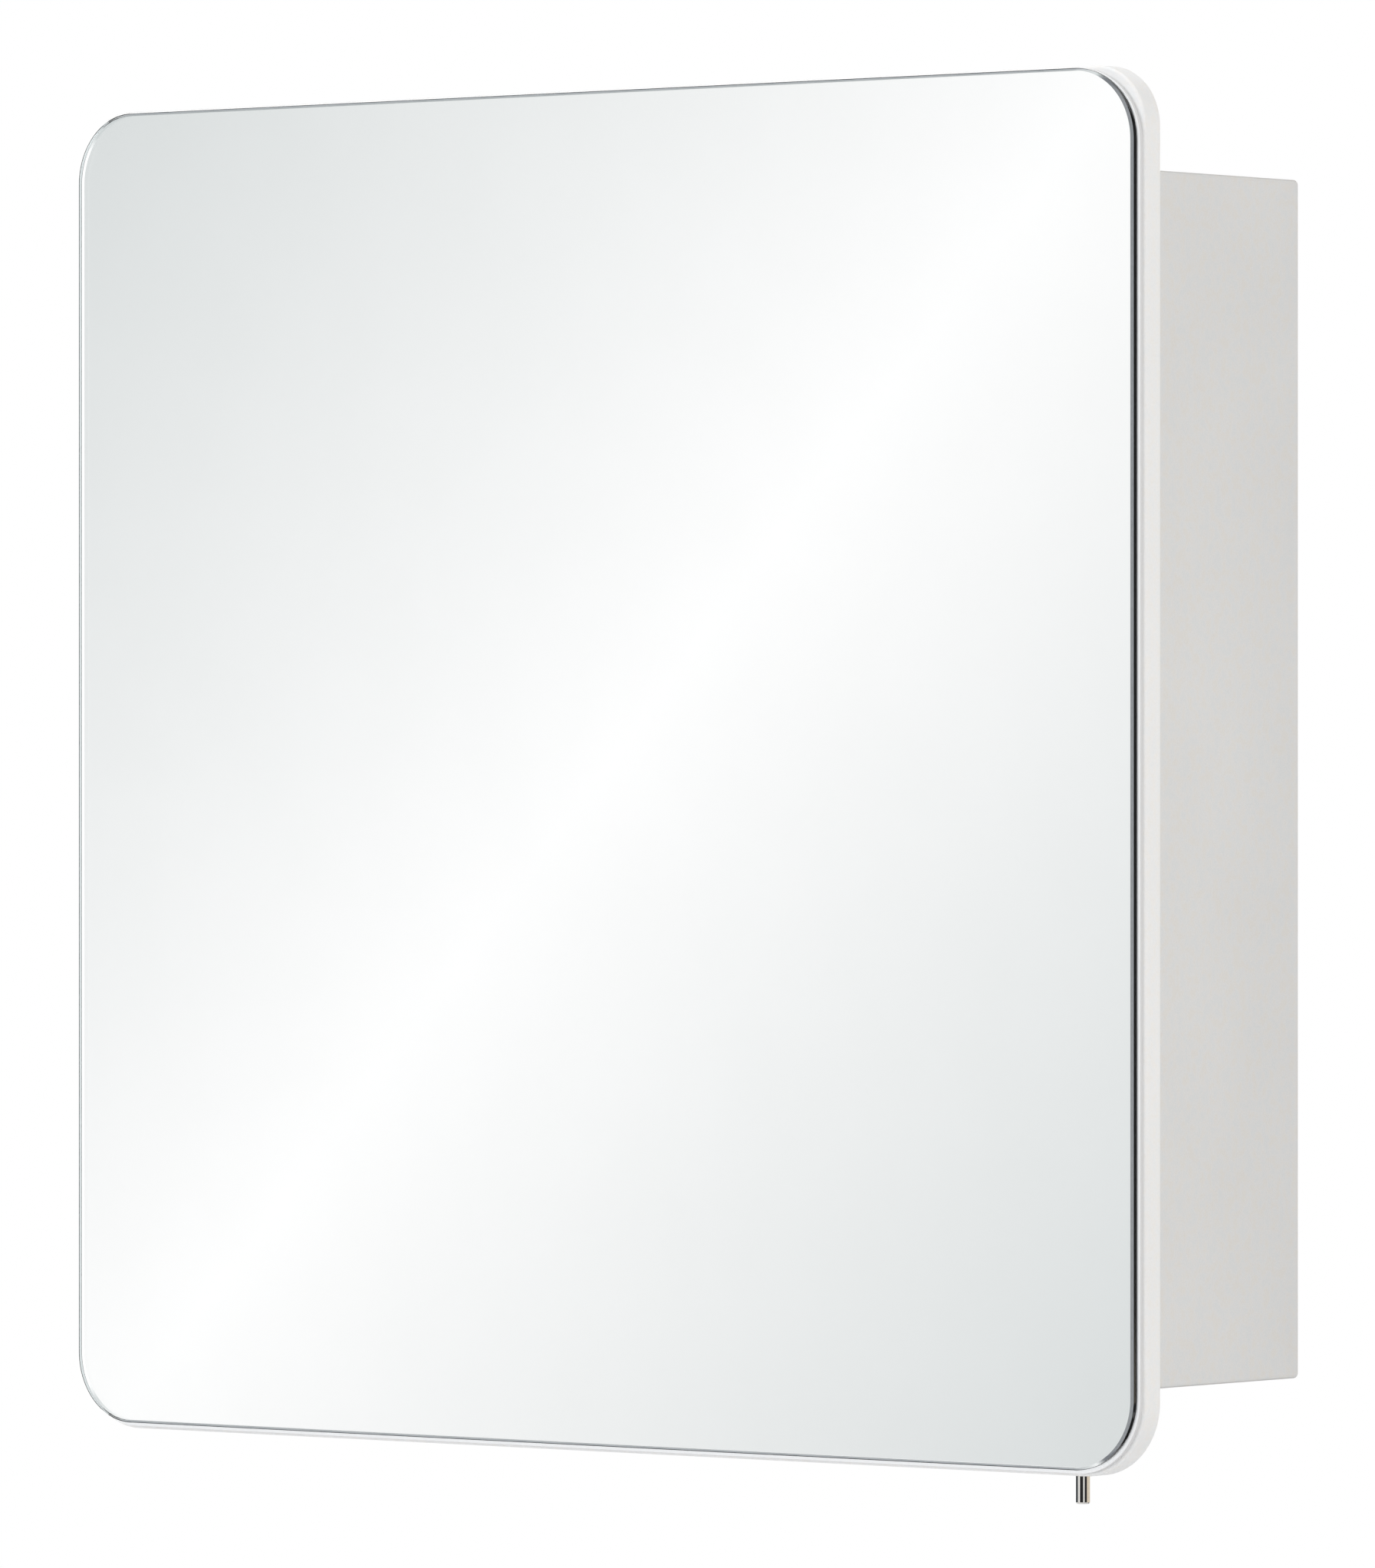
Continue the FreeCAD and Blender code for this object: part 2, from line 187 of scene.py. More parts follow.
def addRamp(tree, value, stops):
    ramp = tree.nodes.new("ShaderNodeValToRGB")
    while len(ramp.color_ramp.elements) < len(stops):
        ramp.color_ramp.elements.new(0.5)
    for element, (position, colour) in zip(ramp.color_ramp.elements, stops):
        element.position = position
        element.color = (*colour, 1)
    tree.links.new(value, ramp.inputs["Fac"])
    return ramp.outputs["Color"]


def addRange(tree, value, low, high, fromLow=noiseLow, fromHigh=noiseHigh):
    span = tree.nodes.new("ShaderNodeMapRange")
    span.inputs["From Min"].default_value = fromLow
    span.inputs["From Max"].default_value = fromHigh
    span.inputs["To Min"].default_value = low
    span.inputs["To Max"].default_value = high
    tree.links.new(value, span.inputs["Value"])
    return span.outputs["Result"]


def addMath(tree, operation, first, second=0.0):
    node = tree.nodes.new("ShaderNodeMath")
    node.operation = operation
    for socket, value in zip(node.inputs, (first, second)):
        if isinstance(value, (int, float)):
            socket.default_value = value
        else:
            tree.links.new(value, socket)
    return node.outputs[0]


mixSockets = {"first": 6, "second": 7, "result": 2}   # a Mix node's sockets for colours


def addProduct(tree, first, second):
    product = tree.nodes.new("ShaderNodeMix")
    product.data_type = "RGBA"
    product.blend_type = "MULTIPLY"
    product.inputs["Factor"].default_value = 1
    tree.links.new(first, product.inputs[mixSockets["first"]])
    tree.links.new(second, product.inputs[mixSockets["second"]])
    return product.outputs[mixSockets["result"]]


def addMix(tree, share, first, second):
    mix = tree.nodes.new("ShaderNodeMixShader")
    for socket, value in zip(mix.inputs, (share, first, second)):
        tree.links.new(value, socket)
    return mix.outputs[0]


def addBump(tree, shader, value, p):
    bump = tree.nodes.new("ShaderNodeBump")
    bump.inputs["Strength"].default_value = p["bump"]
    bump.inputs["Distance"].default_value = p["depth"]
    tree.links.new(value, bump.inputs["Height"])
    tree.links.new(bump.outputs["Normal"], shader.inputs["Normal"])


def shaded(colour, factor):
    return tuple(min(1.0, c * factor) for c in colour)


def addSpread(tree, value, colour, spread):
    dim = shaded(colour, 1 - spread)
    bright = shaded(colour, 1 + spread)
    return addRamp(tree, value, [(noiseLow, dim), (noiseHigh, bright)])


def setSurface(tree, shader, tone, grain, rough):
    tree.links.new(tone, shader.inputs["Base Color"])
    tree.links.new(addRange(tree, grain, *rough), shader.inputs["Roughness"])


# powder coats of the door and the box
doorCoat = {"colour": (0.858, 0.855, 0.849), "spread": 0.012, "rough": (0.36, 0.44), "grain": 1100,
            "bump": 0.35, "depth": 0.00003, "cloud": 9, "fleck": 300, "fleckTint": 0.018, "speck": 0.030,
            "bend": None}
# the box's coat carries painted shade: a thin darker line along the bends of its sides
bodyCoat = {"colour": (0.743, 0.737, 0.727), "spread": 0.02, "rough": (0.46, 0.56), "grain": 1500,
            "bump": 0.35, "depth": 0.00005, "cloud": 12, "fleck": 260, "fleckTint": 0.027, "speck": 0.045,
            "bend": {"across": (0.21650, 0.21658), "up": (0.2173, 0.2177), "tone": (0.76, 0.75, 0.74)}}
# where the flecks lie in their noise, and what each takes from red, green and blue
flecks = {"cool": (0.36, (1.0, 0.4, 0.0)), "plain": (0.5, (0.0, 0.0, 0.0)), "warm": (0.64, (0.0, 0.6, 1.6))}


def addFlecks(tree, scale, tint):
    stops = [(place, tuple(1 - tint * share for share in shares)) for place, shares in flecks.values()]
    return addRamp(tree, addNoise(tree, scale, detail=3), stops)


# painted shade: the colour is darkened in a thin line along the sharp bends at the top and bottom of the
# sides
def addPaintedBendShade(tree, p):
    place = addPlace(tree)
    across = addRange(tree, addMath(tree, "ABSOLUTE", place["X"]), 0, 1, *p["across"])
    up = addRange(tree, addMath(tree, "ABSOLUTE", place["Z"]), 0, 1, *p["up"])
    return addRamp(tree, addMath(tree, "MULTIPLY", across, up), [(0, white), (1, p["tone"])])


def makeCoat(name, p):
    material, tree, shader = newMaterial(name)
    tone = addSpread(tree, addNoise(tree, p["cloud"], detail=5), p["colour"], p["spread"])
    # flecks of the powder, some warm and some cool, and its fine grain
    tone = addProduct(tree, tone, addFlecks(tree, p["fleck"], p["fleckTint"]))
    grain = addNoise(tree, p["grain"], detail=3)
    speck = addRamp(tree, grain, [(noiseLow, shaded(white, 1 - p["speck"])), (noiseHigh, white)])
    tone = addProduct(tree, tone, speck)
    # painted shade: a thin darker line along the bends at the top and bottom of the sides
    if p["bend"]:
        tone = addProduct(tree, tone, addPaintedBendShade(tree, p["bend"]))
    setSurface(tree, shader, tone, grain, p["rough"])
    addBump(tree, shader, grain, p)
    return material


steelFinish = {
    "polishedSteel": {"colour": (0.78, 0.755, 0.72), "spread": 0.05, "rough": (0.012, 0.03),
                      "scale": 1, "stretch": (70, 70, 4200), "bump": 0.3, "depth": 0.000002},
    "zincSteel": {"colour": (0.66, 0.67, 0.69), "spread": 0.08, "rough": (0.26, 0.40),
                  "scale": 420, "stretch": (1, 1, 1), "bump": 0.3, "depth": 0.00001},
    "magnetSteel": {"colour": (0.42, 0.42, 0.43), "spread": 0.06, "rough": (0.22, 0.34),
                    "scale": 700, "stretch": (1, 1, 1), "bump": 0.3, "depth": 0.00001},
}


def makeSteel(name, p):
    material, tree, shader = newMaterial(name)
    shader.inputs["Metallic"].default_value = 1
    lines = addNoise(tree, p["scale"], detail=4, stretch=p["stretch"])
    setSurface(tree, shader, addSpread(tree, lines, p["colour"], p["spread"]), lines, p["rough"])
    addBump(tree, shader, lines, p)
    return material


# the mirror's border, a few millimetres wide, is a touch less smooth than the rest of its face
glassFinish = {
    "mirrorClear": {"colour": (0.993, 0.996, 0.995), "spread": 0.005, "rough": (0.0, 0.003), "grain": 30,
                    "bump": 0, "depth": 0, "bending": 1.52},
    "mirrorBorder": {"colour": (0.993, 0.996, 0.995), "spread": 0.005, "rough": (0.022, 0.030), "grain": 30,
                     "bump": 0, "depth": 0, "bending": 1.52},
    "shelfClear": {"colour": (0.94, 0.985, 0.97), "spread": 0.005, "rough": (0.0, 0.01), "grain": 30,
                   "bump": 0, "depth": 0, "bending": 1.52},
    "polishedEdge": {"colour": (0.80, 0.90, 0.89), "spread": 0.005, "rough": (0.02, 0.10), "grain": 900,
                     "bump": 0.5, "depth": 0.00001, "bending": 1.52},
    "polishedArris": {"colour": (0.95, 0.98, 0.98), "spread": 0.005, "rough": (0.02, 0.08), "grain": 2200,
                      "bump": 0.5, "depth": 0.00001, "bending": 1.26},
}


def makeGlass(name, p):
    material, tree, shader = newMaterial(name)
    shader.inputs["Transmission Weight"].default_value = 1
    shader.inputs["IOR"].default_value = p["bending"]
    grain = addNoise(tree, p["grain"], detail=3)
    setSurface(tree, shader, addSpread(tree, grain, p["colour"], p["spread"]), grain, p["rough"])
    if p["bump"]:
        addBump(tree, shader, grain, p)
    return material


silverFinish = {"cloud": 7, "dim": (0.957, 0.960, 0.959), "bright": (0.964, 0.966, 0.965),
                "rough": (0.0, 0.004)}


def makeSilver(name, p):
    material, tree, shader = newMaterial(name)
    shader.inputs["Metallic"].default_value = 1
    cloud = addNoise(tree, p["cloud"], detail=3)
    tone = addRamp(tree, cloud, [(noiseLow, p["dim"]), (noiseHigh, p["bright"])])
    setSurface(tree, shader, tone, cloud, p["rough"])
    return material


plainFinish = {
    "mirrorBacking": {"colour": (0.30, 0.32, 0.34), "spread": 0.06, "rough": (0.45, 0.6), "grain": 500,
                      "bump": 0.4, "depth": 0.00003},
    "foamTape": {"colour": (0.022, 0.022, 0.024), "spread": 0.15, "rough": (0.75, 0.95), "grain": 1800,
                 "bump": 0.4, "depth": 0.0001},
    "carrierPlastic": {"colour": (0.87, 0.87, 0.875), "spread": 0.008, "rough": (0.34, 0.44), "grain": 1600,
                       "bump": 0.4, "depth": 0.00001},
    "carrierEdge": {"colour": (0.66, 0.66, 0.665), "spread": 0.03, "rough": (0.45, 0.60), "grain": 1900,
                    "bump": 0.4, "depth": 0.00003},
    "cupPlastic": {"colour": (0.83, 0.83, 0.82), "spread": 0.01, "rough": (0.32, 0.42), "grain": 2600,
                   "bump": 0.4, "depth": 0.00001},
}


def makePlain(name, p):
    material, tree, shader = newMaterial(name)
    grain = addNoise(tree, p["grain"], detail=3)
    setSurface(tree, shader, addSpread(tree, grain, p["colour"], p["spread"]), grain, p["rough"])
    addBump(tree, shader, grain, p)
    return material


rubberFinish = {"clear": 0.55, "bending": 1.45, "grain": 900, "dim": (0.80, 0.81, 0.80),
                "bright": (0.86, 0.865, 0.86), "rough": (0.3, 0.45), "bump": 0.3, "depth": 0.00002}


def makeRubber(name, p):
    material, tree, shader = newMaterial(name)
    shader.inputs["Transmission Weight"].default_value = p["clear"]
    shader.inputs["IOR"].default_value = p["bending"]
    grain = addNoise(tree, p["grain"], detail=3)
    tone = addRamp(tree, grain, [(noiseLow, p["dim"]), (noiseHigh, p["bright"])])
    setSurface(tree, shader, tone, grain, p["rough"])
    addBump(tree, shader, grain, p)
    return material


finishes = {"doorCoat": makeCoat("doorCoat", doorCoat), "bodyCoat": makeCoat("bodyCoat", bodyCoat),
            "silver": makeSilver("silver", silverFinish),
            "clearRubber": makeRubber("clearRubber", rubberFinish)}
for finishName, values in steelFinish.items():
    finishes[finishName] = makeSteel(finishName, values)
for finishName, values in glassFinish.items():
    finishes[finishName] = makeGlass(finishName, values)
for finishName, values in plainFinish.items():
    finishes[finishName] = makePlain(finishName, values)
print("materials made:", len(finishes))


# the door's lower corners are a little rounder than the upper ones
def roundCorners(piece, p):
    crosswise = runsAlong(1)
    pickEdges(piece, lambda edge: crosswise(edge) and edge.verts[0].co.z > 0)
    roundOff(p["topRadius"], p["cornerSteps"])
    pickEdges(piece, lambda edge: crosswise(edge) and edge.verts[0].co.z < 0)
    roundOff(p["bottomRadius"], p["cornerSteps"])


# hollows a pan out from its open side, down to the sheet
def hollowOut(piece, way, depth, sheet):
    pickFaces(piece, facesTowards((0, way, 0)))
    bpy.ops.mesh.inset(thickness=sheet, use_even_offset=True)
    bpy.ops.mesh.extrude_region_move(TRANSFORM_OT_translate={"value": (0, way * (sheet - depth), 0)})


# the white door panel: a pressed tray, open at the rear
doorPanel = {"topRadius": 0.0220, "bottomRadius": 0.0268, "cornerSteps": 32, "rimRadius": 0.0012,
             "rimSteps": 6, "sheet": 0.001, "smoothAngle": 35}


def makeDoorPanel(p):
    low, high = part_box("door_tray")
    panel = addBlock("doorPanel", low, high)
    startEdit(panel)
    roundCorners(panel, p)
    pickEdges(panel, liesAt(1, low.y))
    roundOff(p["rimRadius"], p["rimSteps"])
    hollowOut(panel, 1, high.y - low.y, p["sheet"])
    bpy.ops.object.mode_set(mode="OBJECT")
    panel.data.materials.append(finishes["doorCoat"])
    finishSmooth(panel, p["smoothAngle"])
    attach(panel, "door")
    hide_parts("door_tray")


makeDoorPanel(doorPanel)
print("door panel made")


# the rear of the door, nested in the tray
doorRear = {"topRadius": 0.0207, "bottomRadius": 0.0255, "cornerSteps": 32, "rimRadius": 0.0012,
            "rimSteps": 5, "sheet": 0.001, "smoothAngle": 35}


def makeDoorRear(p):
    low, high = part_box("door_back_plate")
    rear = addBlock("doorRear", low, high)
    startEdit(rear)
    roundCorners(rear, p)
    pickEdges(rear, liesAt(1, high.y))
    roundOff(p["rimRadius"], p["rimSteps"])
    hollowOut(rear, -1, high.y - low.y, p["sheet"])
    bpy.ops.object.mode_set(mode="OBJECT")
    rear.data.materials.append(finishes["doorCoat"])
    finishSmooth(rear, p["smoothAngle"])
    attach(rear, "door")
    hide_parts("door_back_plate")


makeDoorRear(doorRear)
print("door rear made")


# the thin white plate that the mirror is taped to
mirrorCarrier = {"cornerRadius": 0.027, "cornerSteps": 32, "edgeRound": 0.0003, "edgeSteps": 3,
                 "smoothAngle": 35}


def makeMirrorCarrier(p):
    low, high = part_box("mirror_carrier")
    plate = addBlock("mirrorCarrier", low, high)
    startEdit(plate)
    pickEdges(plate, runsAlong(1))
    roundOff(p["cornerRadius"], p["cornerSteps"])
    pickEdges(plate, liesAt(1, low.y))
    roundOff(p["edgeRound"], p["edgeSteps"])
    bpy.ops.object.mode_set(mode="OBJECT")
    paintFaces(plate, [finishes["carrierPlastic"], finishes["carrierEdge"]],
               [(1, lambda face: abs(face.normal.y) < edgeNormal)])
    finishSmooth(plate, p["smoothAngle"])
    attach(plate, "door")
    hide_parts("mirror_carrier")


makeMirrorCarrier(mirrorCarrier)
print("carrier plate made")


# the mirror: clear glass with a polished edge, arris and border, and the silver behind it
mirrorGlass = {"cornerRadius": 0.026, "cornerSteps": 72, "frontArris": 0.00085, "rearArris": 0.00062,
               "arrisSteps": 1, "border": 0.0048, "smoothAngle": 30}


def makeMirrorGlass(p):
    low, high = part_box("mirror_glass")
    slab = addBlock("mirrorGlass", low, high)
    startEdit(slab)
    pickEdges(slab, runsAlong(1))
    roundOff(p["cornerRadius"], p["cornerSteps"])
    for level, arris in ((low.y, p["frontArris"]), (high.y, p["rearArris"])):
        pickEdges(slab, liesAt(1, level))
        roundOff(arris, p["arrisSteps"])
    pickFaces(slab, lambda face: abs(face.normal.y) > flatNormal)
    bpy.ops.mesh.inset(thickness=p["border"], use_even_offset=True, use_individual=True)
    bpy.ops.object.mode_set(mode="OBJECT")
    # the inset leaves strips of four corners round each face
    paintFaces(slab, [finishes["mirrorClear"], finishes["polishedEdge"], finishes["polishedArris"],
                      finishes["mirrorBorder"]],
               [(1, lambda face: abs(face.normal.y) < arrisNormal),
                (2, lambda face: -arrisNormal < face.normal.y < -edgeNormal),
                (3, lambda face: abs(face.normal.y) > flatNormal and len(face.verts) == 4)])
    finishSmooth(slab, p["smoothAngle"])
    slab.visible_shadow = False
    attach(slab, "door")
    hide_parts("mirror_glass")


makeMirrorGlass(mirrorGlass)

mirrorSilver = {"cornerRadius": 0.0252, "cornerSteps": 72, "trim": 0.00008, "sink": 0.00002,
                "smoothAngle": 30}


def makeMirrorSilver(p):
    low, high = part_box("mirror_silvering")
    low += Vector((p["trim"], -p["sink"], p["trim"]))      # just inside the glass, so no faces coincide
    high -= Vector((p["trim"], 0, p["trim"]))
    layer = addBlock("mirrorSilver", low, high)
    startEdit(layer)
    pickEdges(layer, runsAlong(1))
    roundOff(p["cornerRadius"], p["cornerSteps"])
    bpy.ops.object.mode_set(mode="OBJECT")
    paintFaces(layer, [finishes["silver"], finishes["mirrorBacking"]],
               [(1, lambda face: face.normal.y > -flatNormal)])
    finishSmooth(layer, p["smoothAngle"])
    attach(layer, "door")
    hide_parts("mirror_silvering")


makeMirrorSilver(mirrorSilver)
print("mirror made")


# the polished pin under the door
handlePin = {"radius": 0.0025, "sides": 64, "endRound": 0.0006, "endSteps": 5, "spigotRadius": 0.002,
             "grip": 0.010, "seatChamfer": 0.0002, "seatSteps": 2, "smoothAngle": 40}


def makeHandlePin(p):
    low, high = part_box("handle_pin")
    middle = ((low.x + high.x) / 2, (low.y + high.y) / 2, low.z + p["grip"] / 2)
    pin = addRod("handlePin", middle, p["radius"], p["grip"], p["sides"])
    seat = low.z + p["grip"]
    startEdit(pin)
    pickEdges(pin, liesAt(2, low.z))
    roundOff(p["endRound"], p["endSteps"])
    pickEdges(pin, liesAt(2, seat))
    roundOff(p["seatChamfer"], p["seatSteps"])
    pickFaces(pin, facesTowards((0, 0, 1)))
    bpy.ops.mesh.inset(thickness=p["radius"] - p["spigotRadius"] - p["seatChamfer"])
    bpy.ops.mesh.extrude_region_move(TRANSFORM_OT_translate={"value": (0, 0, high.z - seat)})
    bpy.ops.object.mode_set(mode="OBJECT")
    pin.data.materials.append(finishes["polishedSteel"])
    finishSmooth(pin, p["smoothAngle"])
    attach(pin, "door")
    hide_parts("handle_pin")


makeHandlePin(handlePin)
print("handle pin made")


# glass shelves with a polished edge
glassShelf = {"cornerRadius": 0.003, "cornerSteps": 10, "arris": 0.0004, "arrisSteps": 2, "seam": 0.0006,
              "smoothAngle": 30}


def makeShelf(name, node, p):
    low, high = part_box(node)
    plate = addBlock(name, low, high)
    startEdit(plate)
    pickEdges(plate, runsAlong(2))
    roundOff(p["cornerRadius"], p["cornerSteps"])
    for level in (low.z, high.z):
        pickEdges(plate, liesAt(2, level))
        roundOff(p["arris"], p["arrisSteps"])
    pickFaces(plate, lambda face: abs(face.normal.z) > flatNormal)
    bpy.ops.mesh.inset(thickness=p["seam"], use_even_offset=True, use_individual=True)
    bpy.ops.object.mode_set(mode="OBJECT")
    paintFaces(plate, [finishes["shelfClear"], finishes["polishedEdge"], finishes["polishedArris"]],
               [(1, lambda face: abs(face.normal.z) < edgeNormal),
                (2, lambda face: edgeNormal < abs(face.normal.z) < arrisNormal)])
    finishSmooth(plate, p["smoothAngle"])
    plate.visible_shadow = False
    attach(plate, "cabinet")
    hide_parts(node)


makeShelf("lowerShelf", "lower_shelf", glassShelf)
makeShelf("upperShelf", "upper_shelf", glassShelf)
print("shelves made")


# finishes of the nodes that keep their CAD shape
nodeFinish = {
    "bodyCoat": ["left_side_pan", "right_side_pan", "top_panel", "bottom_panel", "back_panel",
                 "lower_shelf_brackets", "upper_shelf_brackets"],
    "clearRubber": ["lower_shelf_pads", "upper_shelf_pads", "door_buffers"],
    "cupPlastic": ["magnet_cups"],
    "magnetSteel": ["magnets"],
    "foamTape": ["mirror_tape"],
    "zincSteel": ["handle_boss"] + [side + part for side in ("lower_hinge_", "upper_hinge_")
                                    for part in ("body_leaf", "door_leaf", "pin", "screws", "tapped_plate")],
}
for finishName, names in nodeFinish.items():
    for name in names:
        for place in cadNodes[name].material_slots:
            place.material = finishes[finishName]
print("node finishes set")


# pale floor far below the cabinet, which hangs on a wall
floorSetup = {"level": -1.25, "radius": 5.0, "sides": 96, "fadeFrom": 1.6, "colour": (0.92, 0.92, 0.92),
              "spread": 0.005, "grain": 3, "rough": 0.9, "shine": 0.1}


def makeFloor(p):
    deselectAll()
    bpy.ops.mesh.primitive_circle_add(vertices=p["sides"], radius=p["radius"], fill_type="NGON",
                                      location=(0, 0, p["level"]))
    floor = bpy.context.object
    floor.name = "floor"
    material, tree, shader = newMaterial("floorPaint")
    shader.inputs["Roughness"].default_value = p["rough"]
    shader.inputs["Specular IOR Level"].default_value = p["shine"]
    tone = addSpread(tree, addNoise(tree, p["grain"], detail=4), p["colour"], p["spread"])
    tree.links.new(tone, shader.inputs["Base Color"])
    # the rim of the floor melts into the white behind it
    glow = tree.nodes.new("ShaderNodeEmission")
    reach = tree.nodes.new("ShaderNodeVectorMath")
    reach.operation = "LENGTH"
    tree.links.new(tree.nodes.new("ShaderNodeTexCoord").outputs["Object"], reach.inputs[0])
    blend = addRange(tree, reach.outputs["Value"], 0, 1, p["fadeFrom"], p["radius"])
    look = addMix(tree, blend, shader.outputs[0], glow.outputs[0])
    # seen from below the floor is clear
    below = tree.nodes.new("ShaderNodeNewGeometry").outputs["Backfacing"]
    look = addMix(tree, below, look, tree.nodes.new("ShaderNodeBsdfTransparent").outputs[0])
    tree.links.new(look, tree.nodes["Material Output"].inputs["Surface"])
    floor.data.materials.append(material)


makeFloor(floorSetup)


# what surrounds the cabinet in the studio, seen only in shiny and clear surfaces
drumSides = 128
fullTurn = 2 * math.pi


def addDrum(name, radius, height, level):
    deselectAll()
    bpy.ops.mesh.primitive_cylinder_add(vertices=drumSides, radius=radius, depth=height,
                                        end_fill_type="NOTHING", location=(0, 0, level))
    drum = bpy.context.object
    drum.name = name
    bpy.ops.object.transform_apply(location=True, rotation=True, scale=True)
    return drum


def newGlow(name):
    material, tree, shader = newMaterial(name)
    tree.nodes.remove(shader)
    return material, tree


# 1 in the middle and 0 at both ends
def addFade(tree, place, middle, half, fade):
    offCentre = addMath(tree, "ABSOLUTE", addMath(tree, "SUBTRACT", place, middle))
    return addRange(tree, offCentre, 1, 0, half - fade, half)


def lightUp(piece, material, tone, cover=None):
    tree = material.node_tree
    glow = tree.nodes.new("ShaderNodeEmission")
    if isinstance(tone, tuple):
        glow.inputs["Color"].default_value = (*tone, 1)
    else:
        tree.links.new(tone, glow.inputs["Color"])
    look = glow.outputs[0]
    if cover:
        look = addMix(tree, cover, tree.nodes.new("ShaderNodeBsdfTransparent").outputs[0], look)
    tree.links.new(look, tree.nodes["Material Output"].inputs["Surface"])
    piece.data.materials.append(material)
    piece.visible_camera = False
    piece.visible_diffuse = False
    piece.visible_shadow = False


# a round screen with slanting bands of light
screenSetup = {"radius": 4.0, "height": 6.0, "bands": 14, "halfBand": 0.5, "slant": 0.748, "turn": 232.43,
               "bright": (1.046, 1.046, 1.046), "dim": (0.655, 0.689, 0.691)}


def makeScreen(p):
    screen = addDrum("studioScreen", p["radius"], p["height"], 0)
    material, tree = newGlow("studioBands")
    place = addPlace(tree)
    angle = addMath(tree, "ARCTAN2", place["Y"], place["X"])
    perRadian = p["bands"] / fullTurn
    along = addMath(tree, "MULTIPLY", addMath(tree, "SUBTRACT", angle, math.radians(p["turn"])), perRadian)
    rise = addMath(tree, "MULTIPLY", place["Z"], p["slant"] * perRadian / p["radius"])
    band = addMath(tree, "PINGPONG", addMath(tree, "SUBTRACT", along, rise), p["halfBand"])
    lightUp(screen, material, addRamp(tree, band, [(0, p["bright"]), (p["halfBand"], p["dim"])]))


makeScreen(screenSetup)


# a white card and dark flags, with soft sides, that show in the edge of the glass and not in its flat face
cardSetup = [
    {"name": "whiteCard", "azimuth": -20, "radius": 3.8, "width": 0.75, "height": 3.6, "level": 0,
     "tone": (1.16, 1.16, 1.16), "softEnds": False},
    {"name": "sideFlag", "azimuth": -66, "radius": 3.8, "width": 1.6, "height": 3.6, "level": 0,
     "tone": (0.20, 0.21, 0.23), "softEnds": False},
    {"name": "rightFlag", "azimuth": 141, "radius": 3.85, "width": 1.6, "height": 3.6, "level": 0,
     "tone": (0.16, 0.16, 0.16), "softEnds": False},
    {"name": "lowRearFlag", "azimuth": 152, "radius": 1.26, "width": 1.3, "height": 0.56, "level": -0.97,
     "tone": (0.10, 0.10, 0.10), "softEnds": False},
    {"name": "highRearFlag", "azimuth": 152, "radius": 1.26, "width": 1.3, "height": 0.70, "level": 1.0,
     "tone": (0.10, 0.10, 0.10), "softEnds": False},
    {"name": "lowLineFlag", "azimuth": -49, "radius": 3.75, "width": 1.45, "height": 0.60, "level": -0.82,
     "tone": (0.42, 0.44, 0.46), "softEnds": True},
    {"name": "highLineFlag", "azimuth": -49, "radius": 3.75, "width": 1.45, "height": 0.60, "level": 0.82,
     "tone": (0.42, 0.44, 0.46), "softEnds": True},
    {"name": "rearFlag", "azimuth": -118, "radius": 3.8, "width": 2.4, "height": 5.0, "level": 0.4,
     "tone": (0.20, 0.20, 0.20), "softEnds": False},
]
cardMiddle = 0.5   # on the card's own map, which runs from 0 to 1
cardFade = 0.12


def makeCard(p):
    deselectAll()
    way = math.radians(p["azimuth"])
    place = (math.sin(way) * p["radius"], -math.cos(way) * p["radius"], p["level"])
    bpy.ops.mesh.primitive_plane_add(size=1, rotation=(math.pi / 2, 0, way), location=place)
    card = bpy.context.object
    card.name = p["name"]
    card.scale = (p["width"], p["height"], 1)
    bpy.ops.object.transform_apply(location=True, rotation=True, scale=True)
    material, tree = newGlow(p["name"])
    spot = addPlace(tree, "UV")
    cover = addFade(tree, spot["X"], cardMiddle, cardMiddle, cardFade)
    if p["softEnds"]:
        ends = addFade(tree, spot["Y"], cardMiddle, cardMiddle, cardMiddle)
        cover = addMath(tree, "MULTIPLY", cover, ends)
    flatFace = tree.nodes.new("ShaderNodeLightPath").outputs["Is Singular Ray"]
    cover = addMath(tree, "MULTIPLY", cover, addMath(tree, "SUBTRACT", 1, flatFace))
    lightUp(card, material, p["tone"], cover)


for card in cardSetup:
    makeCard(card)


# a low ring of dark and warm stretches, mirrored by the polished pin: azimuth, tone and cover at each end
lowRing = {"radius": 3.7, "height": 0.32, "level": -0.535, "fade": 0.04, "dark": (0.03, 0.03, 0.032),
           "slate": (0.060, 0.070, 0.078), "warm": (0.80, 0.72, 0.60),
           "stretches": [(-180, "warm", 1), (-146, "warm", 1), (-141, "slate", 1), (-53, "slate", 1),
                         (-50, "dark", 0), (-12, "dark", 0), (-9, "dark", 1), (38, "dark", 1),
                         (42, "dark", 0), (61, "dark", 0), (65, "dark", 1), (99, "dark", 1),
                         (105, "warm", 1), (180, "warm", 1)]}
ringStart = 0.75   # the share of a turn from the stretches' start, behind the cabinet, to +X


